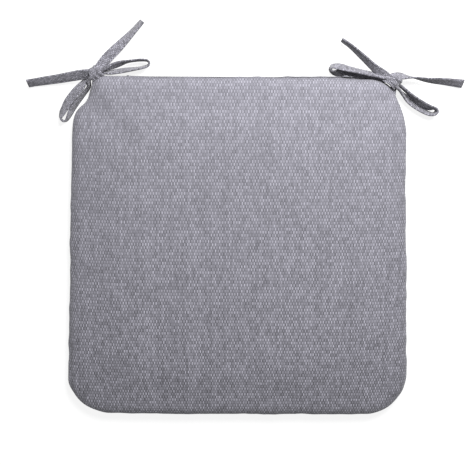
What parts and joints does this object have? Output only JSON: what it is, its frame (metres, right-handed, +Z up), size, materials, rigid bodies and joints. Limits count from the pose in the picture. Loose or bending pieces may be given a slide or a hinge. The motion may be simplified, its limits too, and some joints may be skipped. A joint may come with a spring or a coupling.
{
  "type": "chair seat pad",
  "caption": "Flat foam seat pad in a woven grey cover with round corners, a zip along the rear edge and tie straps knotted into bows at the rear corners.",
  "frame": {"origin": "middle of the underside, on the surface that the pad rests on", "axes": "+X across the seat, +Y to the rear edge with the zip and the ties, +Z up"},
  "size_m": [0.4891, 0.462, 0.028],
  "materials": {
    "cover_cloth": "woven, matt",
    "foam": "open-cell foam",
    "lining": "non-woven, matt",
    "lining_thread": "matt",
    "sewing_thread": "matt",
    "zip_tape": "twill, matt",
    "zip_coil": "satin",
    "zip_metal": "satin"
  },
  "bodies": {
    "root": {"foam_core": "foam", "liner_top": "lining", "liner_bottom": "lining", "liner_seam_thread": "lining_thread", "cover_top_panel": "cover_cloth", "cover_bottom_panel": "cover_cloth", "cover_seam_thread": "sewing_thread", "zip_tape_upper": "zip_tape", "zip_tape_lower": "zip_tape", "zip_coil_upper": "zip_coil", "zip_coil_lower": "zip_coil", "zip_top_stops": "zip_metal", "zip_bottom_stop": "zip_metal", "zip_stitching_upper": "sewing_thread", "zip_stitching_lower": "sewing_thread", "tie_left_strap_a": "cover_cloth", "tie_left_strap_b": "cover_cloth", "tie_left_knot": "cover_cloth", "tie_left_bartacks": "sewing_thread", "tie_right_strap_a": "cover_cloth", "tie_right_strap_b": "cover_cloth", "tie_right_knot": "cover_cloth", "tie_right_bartacks": "sewing_thread"},
    "slider": {"zip_slider": "zip_metal"}
  },
  "joints": [
    {"name": "zip_slide", "type": "slide", "parent": "root", "child": "slider", "axis": [-1, 0, 0], "range_m": [0, 0.236]}
  ]
}
